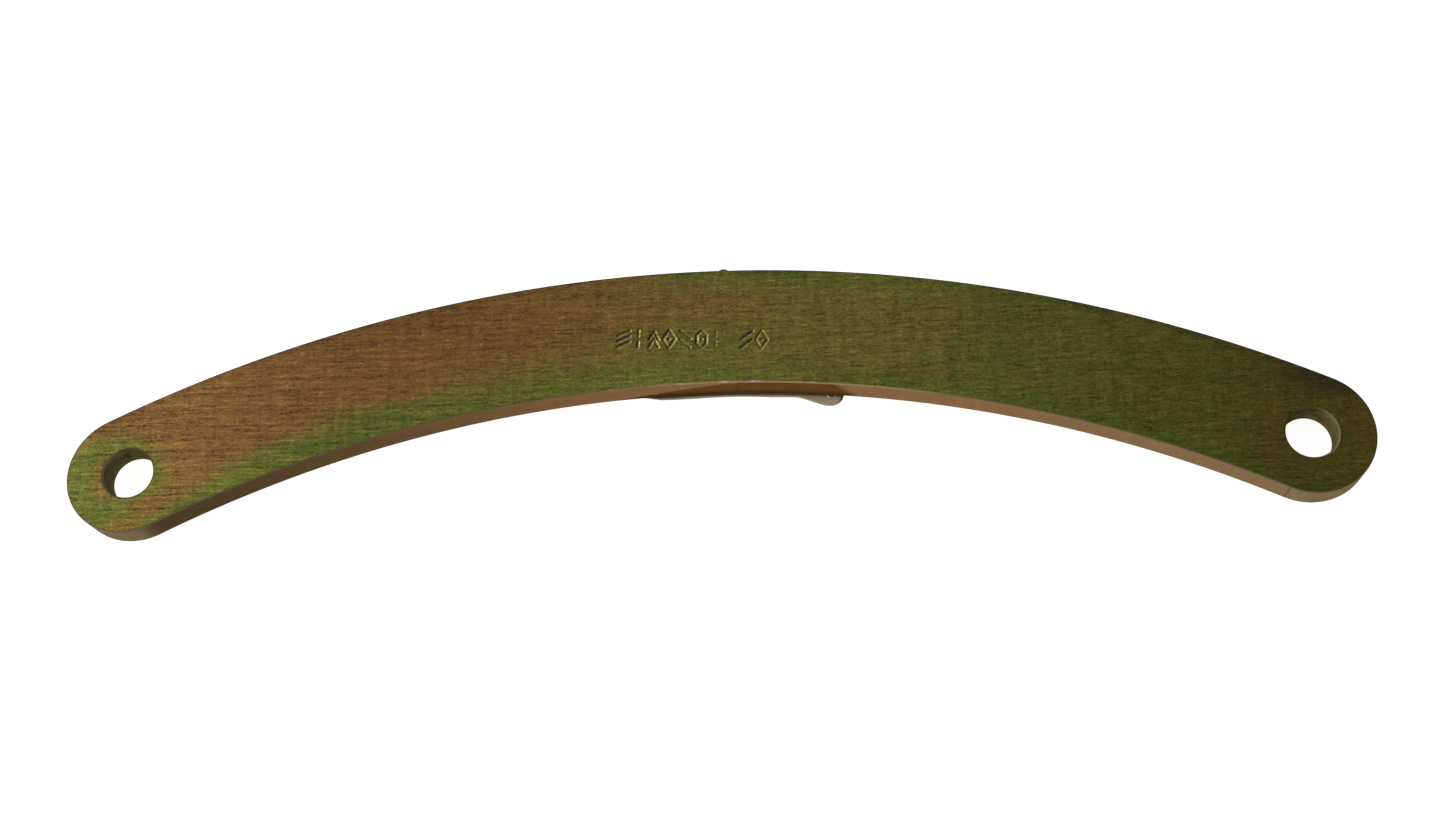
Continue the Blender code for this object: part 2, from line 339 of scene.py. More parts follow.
# Small chips knocked out of the front rim of the concave edge: place along X, reach and depth.
# Where the rim meets the flat face it only draws back, so that the face stays flat.
CHIPS = ((-13.0, 0.9, 0.3), (4.6, 1.5, 0.5), (7.6, 1.3, 0.45), (17.5, 1.4, 0.45), (42.0, 1.0, 0.3))
for along, reach, depth in CHIPS:
    across = centre.y + math.sqrt(inside**2 - (along * MM) ** 2)
    chip = Vector((along * MM, across, bar_high.z))
    for vert in bm.verts:
        near = 1 - (vert.co - chip).length / (reach * MM)
        if near > 0:
            down = 0 if vert.co.z > bar_high.z - CLOSE else -1
            vert.co += Vector((0, 0.7, down)) * depth * MM * near


class Tone:
    """A value inside a node tree. Arithmetic on it adds Math nodes."""

    def __init__(self, nodes, socket):
        self.nodes = nodes
        self.socket = socket

    def math(self, operation, *others):
        inputs = dict(enumerate((self, *others)))
        return self.nodes.node("ShaderNodeMath", {"operation": operation}, inputs)

    def __add__(self, other):
        return self.math("ADD", other)

    def __sub__(self, other):
        return self.math("SUBTRACT", other)

    def __rsub__(self, other):
        return (self * -1) + other

    def __mul__(self, other):
        return self.math("MULTIPLY", other)

    def __truediv__(self, other):
        return self.math("DIVIDE", other)

    def __pow__(self, power):
        return self.math("POWER", power)

    def __abs__(self):
        return self.math("ABSOLUTE")

    __radd__ = __add__
    __rmul__ = __mul__

    def rising(self, low, high):
        """0 below low, 1 above high, and smooth between them; low may be the larger."""
        settings = {"interpolation_type": "SMOOTHSTEP"}
        inputs = {"Value": self, "From Min": low, "From Max": high}
        return self.nodes.node("ShaderNodeMapRange", settings, inputs)


class Nodes:
    """A node tree that gets all its nodes through one method."""

    def __init__(self, tree):
        self.tree = tree

    def node(self, kind, settings=None, inputs=None, output=0):
        made = self.tree.nodes.new(kind)
        for name, value in (settings or {}).items():
            setattr(made, name, value)
        for name, value in (inputs or {}).items():
            self.feed(made.inputs[name], value)
        return Tone(self, made.outputs[output])

    def feed(self, socket, value):
        if isinstance(value, Tone):
            self.tree.links.new(value.socket, socket)
        else:
            socket.default_value = value

    def axes(self, place, names):
        """The chosen parts of a place, as one tone each."""
        return [
            self.node("ShaderNodeSeparateXYZ", inputs={0: place}, output=name) for name in names
        ]


class Finish(Nodes):
    """A node material whose patterns are laid out in millimetres on the part."""

    def __init__(self, name, colour, roughness, metallic):
        self.material = bpy.data.materials.new(name)
        self.material.use_nodes = True
        super().__init__(self.material.node_tree)
        self.shader = self.tree.nodes["Principled BSDF"]
        place = self.node("ShaderNodeTexCoord", output="Object")
        scaled = {"operation": "SCALE"}
        self.place = self.node("ShaderNodeVectorMath", scaled, {0: place, "Scale": 1 / MM})
        self.x, self.y, self.z = self.axes(self.place, "XYZ")
        self.set("Base Color", (*colour, 1))
        self.set("Roughness", roughness)
        self.set("Metallic", metallic)

    def set(self, name, value):
        self.feed(self.shader.inputs[name], value)

    def cloud(self, spread, detail=2.0, roughness=0.5, shift=(0, 0, 0)):
        """Soft noise from about -1 to 1, with blobs of the given size along X, Y and Z."""
        scale = tuple(1 / size for size in spread)
        settings = {"operation": "MULTIPLY_ADD"}
        place = self.node("ShaderNodeVectorMath", settings, {0: self.place, 1: scale, 2: shift})
        inputs = {"Vector": place, "Scale": 1.0, "Detail": detail, "Roughness": roughness}
        return (self.node("ShaderNodeTexNoise", None, inputs) - 0.5) * 4

    def blot(self, x, y, reach_x, reach_y):
        """1 at a place, fading to 0 over the given reach."""
        along = (self.x - x) / reach_x
        over = (self.y - y) / reach_y
        return (along * along + over * over).rising(1, 0)

    def mix(self, factor, first, second, blend="MIX"):
        settings = {"data_type": "RGBA", "blend_type": blend}
        return self.node("ShaderNodeMix", settings, {0: factor, 6: first, 7: second}, 2)

    def shade(self, colour, factor):
        """A colour made lighter or darker by a value."""
        grey = self.node("ShaderNodeCombineXYZ", None, {0: factor, 1: factor, 2: factor})
        return self.node("ShaderNodeVectorMath", {"operation": "MULTIPLY"}, {0: colour, 1: grey})

    def relief(self, height, depth, strength=1.0):
        """Fine relief; height runs over about 0 to 1 and depth is in millimetres."""
        inputs = {"Height": height, "Distance": depth * MM, "Strength": strength}
        self.set("Normal", self.node("ShaderNodeBump", None, inputs))


BROWN = (0.215, 0.104, 0.027, 1)
GREEN = (0.122, 0.145, 0.020, 1)
OLIVE = (0.165, 0.130, 0.025, 1)
TEAL = (0.070, 0.120, 0.050, 1)
BARK = (0.175, 0.128, 0.018, 1)
GOLD = (0.33, 0.20, 0.04, 1)
MOSS = (0.045, 0.040, 0.007, 1)
INK = (0.020, 0.022, 0.014, 1)
# Pale gold of the painted highlights on the punch walls.
HIGHLIGHT_GOLD = (0.62, 0.44, 0.26, 1)
LIGHT_TAN = (0.205, 0.112, 0.050, 1)
DULL_TAN = (0.065, 0.042, 0.020, 1)
GREY_TAN = (0.18, 0.138, 0.080, 1)
DULL_OLIVE = (0.12, 0.092, 0.040, 1)
# Russets of the painted shadow the leaf casts on the bar's concave edge and back rim.
SHADOW_RUSSET = (0.100, 0.044, 0.010, 1)
SHADOW_DARK_RUSSET = (0.030, 0.015, 0.006, 1)
EYE_X = eye_x / MM
EYE_Y = eye_y / MM
ARC_RADIUS = MIDLINE_RADIUS / MM
ARC_Y = centre.y / MM


def from_midline(finish):
    """Distance outward from the bar's midline, in millimetres."""
    from_centre = finish.y - ARC_Y
    return (finish.x * finish.x + from_centre * from_centre) ** 0.5 - ARC_RADIUS


def sanded_grain(finish):
    """Long sanding lines, shorter ones between them, pits, and faint rubs across: four tones."""
    lines = finish.cloud((34, 1.2, 9), 3.0, 0.66)
    fine = finish.cloud((5, 0.9, 9), 2.0, 0.6, (5, 2, 8))
    pits = finish.cloud((1.3, 0.9, 1.4), 2.0, 0.7, (1, 9, 4))
    rubs = finish.cloud((2.6, 22, 9), 2.0, 0.55, (8, 4, 2))
    return lines, fine, pits, rubs


def chromate_face():
    """Front and back faces: sanding grain under the dip's brown and green zones, and painted light and
    shade.
    """
    plate = Finish("chromate_face", BROWN[:3], 0.42, 0.85)
    lines, fine, pits, rubs = sanded_grain(plate)
    drift = plate.cloud((34, 15, 30), 3.0, 0.6)
    wander = plate.cloud((11, 4, 9), 4.0, 0.7, (3, 7, 1)) + lines * 0.8
    x = plate.x + drift * 16 + wander * 7
    across = from_midline(plate) + drift * 3 + wander * 3

    colour = plate.mix(x.rising(-130, 120), BROWN, OLIVE)
    left_end = plate.blot(-EYE_X - 7, EYE_Y - 3, 31, 27) + plate.blot(-268, -46, 26, 26) * 0.5
    inner = (across + x.rising(-170, -235) * 9).rising(-5, -21)
    inner = inner * x.rising(-266, -244) * x.rising(110, -20) * (x.rising(-150, -90) * -0.15 + 1)
    middle = across.rising(6, -20) * x.rising(-150, -90) * x.rising(30, -60) * 0.55
    crown = across.rising(12, 24) * x.rising(-60, 10) * x.rising(230, 120)
    marks = plate.blot(-8, 21, 60, 13) * (wander * 0.3 + 0.8)
    right = x.rising(50, 140) * x.rising(240, 205) * (drift * 0.4 + 0.75)
    lower_right = across.rising(-6, -24) * x.rising(10, 80)
    green = left_end.math("MAXIMUM", inner).math("MAXIMUM", middle)
    green = green.math("MAXIMUM", crown * 0.8).math("MAXIMUM", marks * 0.65)
    green = green.math("MAXIMUM", right * 0.8).math("MAXIMUM", lower_right * 0.9)
    streaks = plate.cloud((6, 60, 9), 2.0, 0.5, (9, 1, 2)) * plate.x.rising(110, 190)
    green = green + wander * 0.1 + streaks * 0.22
    colour = plate.mix(green.rising(0.0, 1.0), colour, GREEN)
    colour = plate.mix(plate.blot(EYE_X + 2, EYE_Y, 31, 30) * 0.7, colour, BARK)
    brown_spots = plate.blot(-EYE_X - 9, EYE_Y - 2, 9, 14) + plate.blot(-EYE_X + 9, EYE_Y - 14, 11, 6)
    colour = plate.mix(brown_spots * 0.7, colour, BROWN)
    tan_spots = plate.blot(EYE_X - 16, EYE_Y - 3, 8, 22) + plate.blot(EYE_X + 19, EYE_Y + 4, 7, 16)
    colour = plate.mix(tan_spots * (wander * 0.2 + 0.35), colour, BROWN)
    bloom = plate.cloud((16, 9, 9), 2.0, 0.5, (2, 6, 3)).rising(0.4, 1.2)
    colour = plate.mix(bloom * crown * 0.6, colour, TEAL)
    dark_rim = from_midline(plate).rising(21, 25) * wander.rising(-0.6, 0.9)
    dark_rim = dark_rim.math("MAXIMUM", plate.blot(EYE_X + 12, EYE_Y + 25, 26, 13) * 0.9)
    colour = plate.mix(dark_rim * 0.6, colour, INK)

    # Painted light: the face is painted brighter across the middle and darker at both ends.
    light = 0.7 + plate.x.rising(-150, 20) * plate.x.rising(190, 50) * 0.28
    light = light - plate.x.rising(185, 240) * 0.2 - plate.x.rising(-215, -260) * 0.12
    light = light + across.rising(5, -20) * plate.x.rising(-150, -90) * plate.x.rising(60, -30) * 0.08
    to_left = plate.x.rising(0, -200) * 0.5 + 0.5
    scratches = plate.cloud((40, 0.6, 9), 1.0, 0.5, (7, 3, 5)).rising(-0.3, -1.0) * to_left
    lines = lines * to_left
    grain = lines * 0.40 + fine * 0.34 + pits * 0.44 + rubs * 0.14 - scratches * 0.3 + 0.04
    colour = plate.mix(grain.rising(0.1, 1.1) * 0.5, colour, GOLD)
    colour = plate.mix(grain.rising(-0.1, -1.1) * 0.6, colour, MOSS)

    height = plate.node("ShaderNodeAttribute", {"attribute_name": "punched"}, output="Fac")
    lean = plate.node("ShaderNodeAttribute", {"attribute_name": "slope_to_light"}, output="Fac")
    # Painted shade and light in the marks: groove bottoms painted darker, walls facing the light side
    # painted a pale gold highlight, walls facing away a painted shadow.
    colour = plate.mix(height.rising(-1.5, -6) * 0.3, colour, INK)
    bright = lean.rising(0.14, 0.62) * (0.75 - plate.x.rising(-45, 30) * 0.3 + wander * 0.12)
    colour = plate.mix(bright, colour, HIGHLIGHT_GOLD)
    colour = plate.mix(lean.rising(-0.12, -0.6) * 0.8, colour, INK)
    colour = plate.shade(colour, light * (1 + grain).math("MAXIMUM", 0.3))
    plate.set("Base Color", colour)
    plate.set("Roughness", 0.42 - grain * 0.06)
    plate.relief(lines * 0.5 + fine * 0.4 + pits * 0.4, 0.03, 0.8)
    return plate.material


def sawn_edge():
    """Cut faces all round: smooth tan plate with faint upright cutting lines, painted shade to the
    left, and the leaf's painted shadow.
    """
    edge = Finish("chromate_edge", LIGHT_TAN[:3], 0.55, 0.15)
    edge.set("Specular IOR Level", 0.0)
    edge.set("Specular Tint", (0.6, 0.38, 0.2, 1))
    cut_lines = edge.cloud((0.5, 0.5, 22), 2.0, 0.6)
    mottle = edge.cloud((7, 7, 4), 3.0, 0.6, (4, 1, 6))
    # Painted shade: the cut faces are painted darker towards the left end.
    tan = edge.mix((edge.x + mottle * 8).rising(30, -240), LIGHT_TAN, DULL_TAN)
    tan = edge.mix(edge.x.rising(60, 200) * 0.4, tan, GREY_TAN)
    joint = EYE_X * (1 - side / MIDLINE_RADIUS)
    past_eye = edge.x.rising(joint - 0.3, joint + 0.3) + edge.x.rising(4 - joint, -8 - joint)
    tan = edge.mix(past_eye * 0.8, tan, GREY_TAN)
    tan = edge.mix(abs(edge.x - joint).rising(0.7, 0.1) * 0.45, tan, INK)
    outer = from_midline(edge).rising(-10, 10)
    tan = edge.mix(outer, tan, DULL_OLIVE)
    height = (edge.z - bar_low.z / MM) / (thickness / MM)
    # Painted shadow of the leaf on the concave edge: a russet wedge rising from its left, darkest
    # along the bottom and at its right end.
    leaf_shadow = (height * 54 - (edge.x + 40) + mottle * 1.2).rising(1.8, -1.8)
    past_leaf_shadow = edge.x - 50 - (1 - height) * 9
    leaf_shadow = leaf_shadow * past_leaf_shadow.rising(4, -3) * (1 - outer)
    shadow_colour = edge.mix(height.rising(0.45, 0.02), SHADOW_RUSSET, SHADOW_DARK_RUSSET)
    shadow_colour = edge.mix(abs(past_leaf_shadow).rising(4, 0.5) * 0.5, shadow_colour, SHADOW_DARK_RUSSET)
    colour = edge.mix(leaf_shadow * 0.96, tan, shadow_colour)
    colour = edge.shade(colour, 1 + cut_lines * 0.09 + mottle * 0.07)
    edge.set("Base Color", colour)
    edge.set("Roughness", 0.55 + mottle * 0.04)
    edge.relief(cut_lines, 0.01, 0.5)
    return edge.material


def eased_rim():
    """The rounded rims: pale gold inside the curve, rub wear with a painted highlight; darker round
    the outside; painted shadow under the leaf.
    """
    rim = Finish("rim_wear_and_highlight", (0.3, 0.22, 0.12), 0.4, 0.3)
    rim.set("Specular IOR Level", 0.1)
    wear = rim.cloud((4, 4, 2), 3.0, 0.7)
    outer = from_midline(rim).rising(-6, 6)
    # The pale gold inside the curve is rub wear with a painted highlight.
    rubbed = (rim.x + wear * 10).rising(-60, 0) * rim.x.rising(120, 60) * (1 - outer)
    front = rim.z.rising(bar_low.z / MM, bar_high.z / MM)
    # Painted shadow on the back rim where the leaf lies under it.
    shadow_under_leaf = rim.x.rising(-44, -34) * rim.x.rising(62, 54) * (1 - outer) * (1 - front)
    dull = rim.mix(outer, (0.13, 0.10, 0.04, 1), (0.05, 0.046, 0.02, 1))
    colour = rim.mix(rubbed, dull, (0.34, 0.23, 0.10, 1))
    colour = rim.mix(wear.rising(0.3, 1.1) * rubbed, colour, (0.42, 0.34, 0.22, 1))
    chips = rim.blot(6.2, 2.2, 5, 3) + rim.blot(17.5, 2.0, 3.5, 3)
    chips = chips + rim.blot(-13, 2.0, 2, 3) * 0.5 + rim.blot(42, 0.5, 2.5, 3) * 0.5
    colour = rim.mix(chips * wear.rising(-0.5, 0.4) * front, colour, (0.42, 0.41, 0.39, 1))
    colour = rim.mix(shadow_under_leaf * 0.85, colour, SHADOW_DARK_RUSSET)
    rim.set("Base Color", rim.shade(colour, 0.8 + wear * 0.08))
    rim.set("Roughness", 0.4 - wear * 0.05)
    rim.relief(wear, 0.02, 0.5)
    return rim.material


def drilled_wall():
    """Eye bores: turned feed rings under dark olive plate, painted paler on the outer side, with
    painted highlights on the chamfers at their mouths.
    """
    wall = Finish("drilled_wall", (0.06, 0.05, 0.015), 0.5, 0.0)
    wall.set("Specular IOR Level", 0.0)
    rings = wall.cloud((30, 30, 0.35), 2.0, 0.5)
    mottle = wall.cloud((4, 4, 4), 3.0, 0.6, (2, 2, 7))
    colour = wall.mix(mottle.rising(-0.8, 0.9), (0.055, 0.04, 0.011, 1), (0.12, 0.105, 0.035, 1))
    from_middle = abs(wall.z - (bar_low.z + thickness / 2) / MM)
    mouth = (thickness / 2 - BORE_CHAMFER) / MM
    # Painted light: each bore is paler on its outer side, and its chamfer carries a painted highlight
    # there.
    lit_outer_side = abs(wall.x).rising(EYE_X + 2, EYE_X + 9)
    colour = wall.mix(lit_outer_side * 0.5, colour, (0.15, 0.12, 0.055, 1))
    chamfer = wall.mix(lit_outer_side, (0.075, 0.06, 0.022, 1), (0.155, 0.13, 0.062, 1))
    colour = wall.mix(from_middle.rising(mouth - 0.1, mouth + 0.05), colour, chamfer)
    wall.set("Base Color", wall.shade(colour, 1 + rings * 0.15))
    wall.set("Roughness", 0.45 + mottle * 0.04)
    wall.relief(rings, 0.02, 0.6)
    return wall.material


bar = piece("link_bar", bm, chromate_face(), sawn_edge(), eased_rim(), drilled_wall())
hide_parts("curved_bar")
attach(bar, "bar")


# ---------------------------------------------------------------------------------------------
# Spring leaf: stamped from 1.2 mm spring steel, its root flat under the screws and its tongue set
# down from the bar by a few degrees. Thin zinc plate leaves it pale; the flexing root is continuous.
# ---------------------------------------------------------------------------------------------

LEAF_CORNER = 5.0 * MM
LEAF_SLOPE = math.radians(3.5)
FLARE_START = 33.0 * MM
FLARE_STEPS = 20
WAIST_ALONG = 10.0 * MM
WAIST_REACH = 32.0 * MM
WAIST_IN = 0.55 * MM
PAD_ALONG = 49.0 * MM
PAD_ACROSS = 31.25 * MM
PAD_RADIUS = 5.4 * MM
SCREW_PASS = 2.1 * MM
LEAF_RIM = 0.22 * MM
BEND_HALF = 4.0 * MM
BEND_STEPS = 20
# Shift of the painted shade band under the bar's edge, per millimetre of gap under the bar.
SHADE_REACH = 0.4

flex_line = Vector(frame["joints"][0]["pos_m"])
root_low, root_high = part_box("leaf_root")
pad = Vector((PAD_ALONG, eye_y + PAD_ACROSS, root_low.z))
leaf_thick = root_high.z - root_low.z


def line_to(bm, start, place):
    """A straight edge from the vertex start to a place; returns its far vertex."""
    end = bm.verts.new(place)
    bm.edges.new((start, end))
    return end


def rounded_corners(bm, corners, radius, steps):
    """Rounds the chosen corners of a flat outline."""
    bmesh.ops.bevel(
        bm,
        geom=corners,
        offset=radius,
        affect="VERTICES",
        segments=steps,
        profile=0.5,
        material=-1,
    )


bm = bmesh.new()
upper_left = bm.verts.new((root_low.x, root_high.y, root_low.z))
lower_left = line_to(bm, upper_left, root_low)
point = line_to(bm, lower_left, (flex_line.x + 2 * MM, root_low.y + WAIST_IN, root_low.z))
for step in range(FLARE_STEPS):
    share = 1.5 * step / FLARE_STEPS - 1
    along = WAIST_ALONG + WAIST_REACH * share
    waist = WAIST_IN * math.cos(math.pi * share)
    point = line_to(bm, point, (along, root_low.y + waist, root_low.z))
for step in range(FLARE_STEPS):
    share = step / FLARE_STEPS
    flare = (root_low.y - pad.y + PAD_RADIUS) * share * share * (3 - 2 * share)
    along = FLARE_START + (pad.x - FLARE_START) * share
    point = line_to(bm, point, (along, root_low.y - flare, root_low.z))
point = line_to(bm, point, pad - Vector((0, PAD_RADIUS, 0)))
taper = Vector((flex_line.x, root_high.y, root_low.z)) - pad
touch = math.atan2(taper.y, taper.x) - math.acos(PAD_RADIUS / taper.length)
point = arc_on(bm, point, pad, touch + math.pi / 2, 48)
point = line_to(bm, point, pad + taper)
bm.edges.new((point, upper_left))
close_outline(bm)
rounded_corners(bm, [upper_left, lower_left], LEAF_CORNER, 12)
open_plate(bm, leaf_thick, LEAF_RIM, 2)
for spot in screw_spots:
    bore(bm, Vector((spot.x, spot.y, root_low.z)), [(SCREW_PASS, 0), (SCREW_PASS, leaf_thick)], 40)
close_level(bm, root_low.z)
close_level(bm, root_high.z)
for step in range(-1, BEND_STEPS + 2):
    cut_at = flex_line + Vector((BEND_HALF * (2 * step / BEND_STEPS - 1), 0, 0))
    everything = bm.verts[:] + bm.edges[:] + bm.faces[:]
    bmesh.ops.bisect_plane(bm, geom=everything, dist=CLOSE, plane_co=cut_at, plane_no=(1, 0, 0))


def set_down(place):
    """Where a point of the flat leaf goes once its tongue is bent down past the flex line."""
    along = place.x - flex_line.x
    above = place.z - flex_line.z
    share = min(max((along + BEND_HALF) / (2 * BEND_HALF), 0), 1)
    angle = LEAF_SLOPE * share
    radius = 2 * BEND_HALF / LEAF_SLOPE
    past = max(along - BEND_HALF, 0)
    middle = Vector((flex_line.x + min(along, -BEND_HALF), place.y, flex_line.z))
    middle += Vector((radius * math.sin(angle), 0, radius * (math.cos(angle) - 1)))
    middle += Vector((math.cos(angle), 0, -math.sin(angle))) * past
    return middle + Vector((math.sin(angle), 0, math.cos(angle))) * above


for vert in bm.verts:
    vert.co = set_down(vert.co)


def spring_plate():
    """Thin pale zinc over rolled spring steel, with brushing along the leaf, a few tan stains, and
    painted shade by the bar.
    """
    leaf = Finish("leaf_zinc", (0.70, 0.58, 0.36), 0.45, 0.1)
    brushed = leaf.cloud((18, 0.35, 6), 3.0, 0.65)
    stains = leaf.cloud((9, 4, 4), 3.0, 0.65, (6, 3, 9))
    pits = leaf.cloud((0.5, 0.5, 0.5), 1.0, 0.5)
    colour = leaf.mix(stains.rising(-0.2, 1.2), (0.60, 0.50, 0.32, 1), (0.46, 0.35, 0.19, 1))
    pad_x, pad_y = PAD_ALONG / MM, pad.y / MM
    rubbed = leaf.blot(pad_x + 1, pad_y - 3.0, 4.4, 2.4)
    colour = leaf.mix(rubbed.rising(0.2, 0.5) * 0.5, colour, (0.64, 0.56, 0.42, 1))
    # Painted shade: a dark band along the bar's back edge where the leaf passes under it, and a dark
    # line round the right of the leaf's round end.
    gap = 0.3 + (leaf.x - flex_line.x / MM).math("MAXIMUM", 0) * math.tan(LEAF_SLOPE)
    shade_in_gap = (from_midline(leaf) + side / MM - gap * SHADE_REACH).rising(-0.85, -0.3)
    from_pad = ((leaf.x - pad_x) ** 2 + (leaf.y - pad_y) ** 2) ** 0.5
    tip = from_pad.rising(PAD_RADIUS / MM - 1.5, PAD_RADIUS / MM - 0.8)
    tip = tip * leaf.x.rising(pad_x + 2.2, pad_x + 4.0)
    colour = leaf.mix(shade_in_gap.math("MAXIMUM", tip) * 0.8, colour, INK)
    # Painted shade: the leaf is darker towards its root, under the bar.
    shade_under_bar = 0.5 + leaf.x.rising(-40, -10) * 0.25 + leaf.x.rising(-10, 48) * 0.2
    leaf.set("Base Color", leaf.shade(colour, (1 + brushed * 0.1 + pits * 0.05) * shade_under_bar))
    leaf.set("Roughness", 0.45 + stains * 0.06)
    leaf.relief(brushed, 0.008, 0.6)
    return leaf.material


def sheared_edge():
    """The leaf's sheared sides, darker than its rolled faces."""
    cut = Finish("leaf_edge", (0.30, 0.24, 0.15), 0.5, 0.1)
    cut.set("Specular IOR Level", 0.1)
    shear = cut.cloud((0.4, 0.4, 6), 2.0, 0.6)
    colour = cut.mix(shear.rising(-0.6, 0.8), (0.20, 0.16, 0.10, 1), (0.34, 0.27, 0.17, 1))
    cut.set("Base Color", colour)
    cut.set("Roughness", 0.5 + shear * 0.05)
    cut.relief(shear, 0.01, 0.5)
    return cut.material


bmesh.ops.recalc_face_normals(bm, faces=bm.faces[:])
for face in bm.faces:
    face.material_index = EDGE if abs(face.normal.z) < 0.85 else FACE
leaf = piece("spring_leaf", bm, spring_plate(), sheared_edge())
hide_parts("leaf_root", "leaf_tongue")
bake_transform(leaf)


# ---------------------------------------------------------------------------------------------
# Contact button: a polished rivet through the leaf's round end. Its dome bears on whatever the
# leaf presses against; the low head on the bar's side was set with a punch.
# ---------------------------------------------------------------------------------------------

DOME_RADIUS = 3.6 * MM
DOME_RIM = 3.0 * MM
CLEARANCE = 0.3 * MM
BUTTON_SHANK = 1.4 * MM
BUTTON_HEAD = 2.3 * MM
BUTTON_HEAD_HEIGHT = 0.5 * MM
BUTTON_EASE = 0.15 * MM
PUNCH_DIMPLE = 0.9 * MM
PUNCH_DEPTH = 0.25 * MM


def turned(profile, steps, place=Matrix.Identity(4)):
    """A turned solid: (radius, height) points from axis to axis, spun about Z and then placed."""
    bm = bmesh.new()
    bore(bm, Vector(), profile, steps)
    bmesh.ops.remove_doubles(bm, verts=bm.verts, dist=CLOSE)
    bmesh.ops.transform(bm, matrix=place, verts=bm.verts)
    return bm


def round_profile(centre_height, radius, first, last, steps):
    """Points of a profile on a circle about the axis, between two angles up from level."""
    angles = [first + (last - first) * step / steps for step in range(steps + 1)]
    return [(radius * math.cos(a), centre_height + radius * math.sin(a)) for a in angles]


dome_centre = math.sqrt(DOME_RADIUS**2 - DOME_RIM**2) - CLEARANCE - leaf_thick / 2
above = leaf_thick / 2 + CLEARANCE
head_top = above + BUTTON_HEAD_HEIGHT
button_profile = [
    *round_profile(dome_centre, DOME_RADIUS, -math.pi / 2, -math.acos(DOME_RIM / DOME_RADIUS), 16),
    (DOME_RIM - BUTTON_EASE, -above),
    (BUTTON_SHANK, -above),
    (BUTTON_SHANK, above),
    (BUTTON_HEAD - BUTTON_EASE, above),
    (BUTTON_HEAD, above + BUTTON_EASE),
    (BUTTON_HEAD, head_top - BUTTON_EASE),
    (BUTTON_HEAD - BUTTON_EASE, head_top),
    (PUNCH_DIMPLE, head_top),
    (PUNCH_DIMPLE / 2, head_top - PUNCH_DEPTH * 0.75),
    (0, head_top - PUNCH_DEPTH),
]
on_pad = (
    Matrix.Translation(flex_line)
    @ Matrix.Rotation(LEAF_SLOPE, 4, "Y")
    @ Matrix.Translation((pad.x - flex_line.x, pad.y - flex_line.y, 0))
)


def polished_steel():
    """Turned bright steel, rubbed brightest on the crown of the dome."""
    steel = Finish("button_steel", (0.5, 0.47, 0.42), 0.2, 0.95)
    swirls = steel.cloud((0.25, 0.25, 0.25), 2.0, 0.6)
    haze = steel.cloud((2, 2, 2), 2.0, 0.5, (4, 4, 1))
    crown = steel.z.rising(0.9, 0.1)
    colour = steel.mix(crown, (0.42, 0.38, 0.31, 1), (0.62, 0.6, 0.56, 1))
    steel.set("Base Color", steel.shade(colour, 1 + swirls * 0.05 + haze * 0.08))
    steel.set("Roughness", 0.3 - crown * 0.12 + haze * 0.05)
    steel.relief(swirls, 0.004, 0.5)
    return steel.material


button = piece("contact_button", turned(button_profile, 64, on_pad), polished_steel())
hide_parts("tip_button")
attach(button, "tongue")


# ---------------------------------------------------------------------------------------------
# Leaf screws and lock washers: two M4 button-head hex socket screws, bright zinc, each over a
# split spring washer, hold the leaf's root in blind tapped holes in the bar's back face.
# ---------------------------------------------------------------------------------------------

SCREW_HEAD = 3.8 * MM
SCREW_HEAD_HEIGHT = 2.2 * MM
SCREW_HEAD_RIM = 0.4 * MM
SCREW_GRIP = 8.6 * MM
SCREW_POINT = 0.5 * MM
THREAD_CORE = 1.62 * MM
THREAD_CREST = 1.94 * MM
THREAD_PITCH = 0.7 * MM
THREAD_STEPS = 24
SOCKET_FLATS = 1.25 * MM
SOCKET_MOUTH = 1.62 * MM
SOCKET_DEPTH = 1.3 * MM
SOCKET_SIDES = 6
SOCKET_CONE = 0.25 * MM
SOCKET_EASE = 0.15 * MM
HEAD_EASE = 0.12 * MM
WASHER_SPLIT = math.radians(14)
WASHER_RISE = 0.32 * MM
WASHER_EASE = 0.12 * MM
WASHER_STEPS = 72


def hex_reach(angle):
    """Distance from the axis to a hexagon's side, in one direction."""
    sector = math.tau / SOCKET_SIDES
    return SOCKET_FLATS / math.cos(angle % sector - sector / 2)


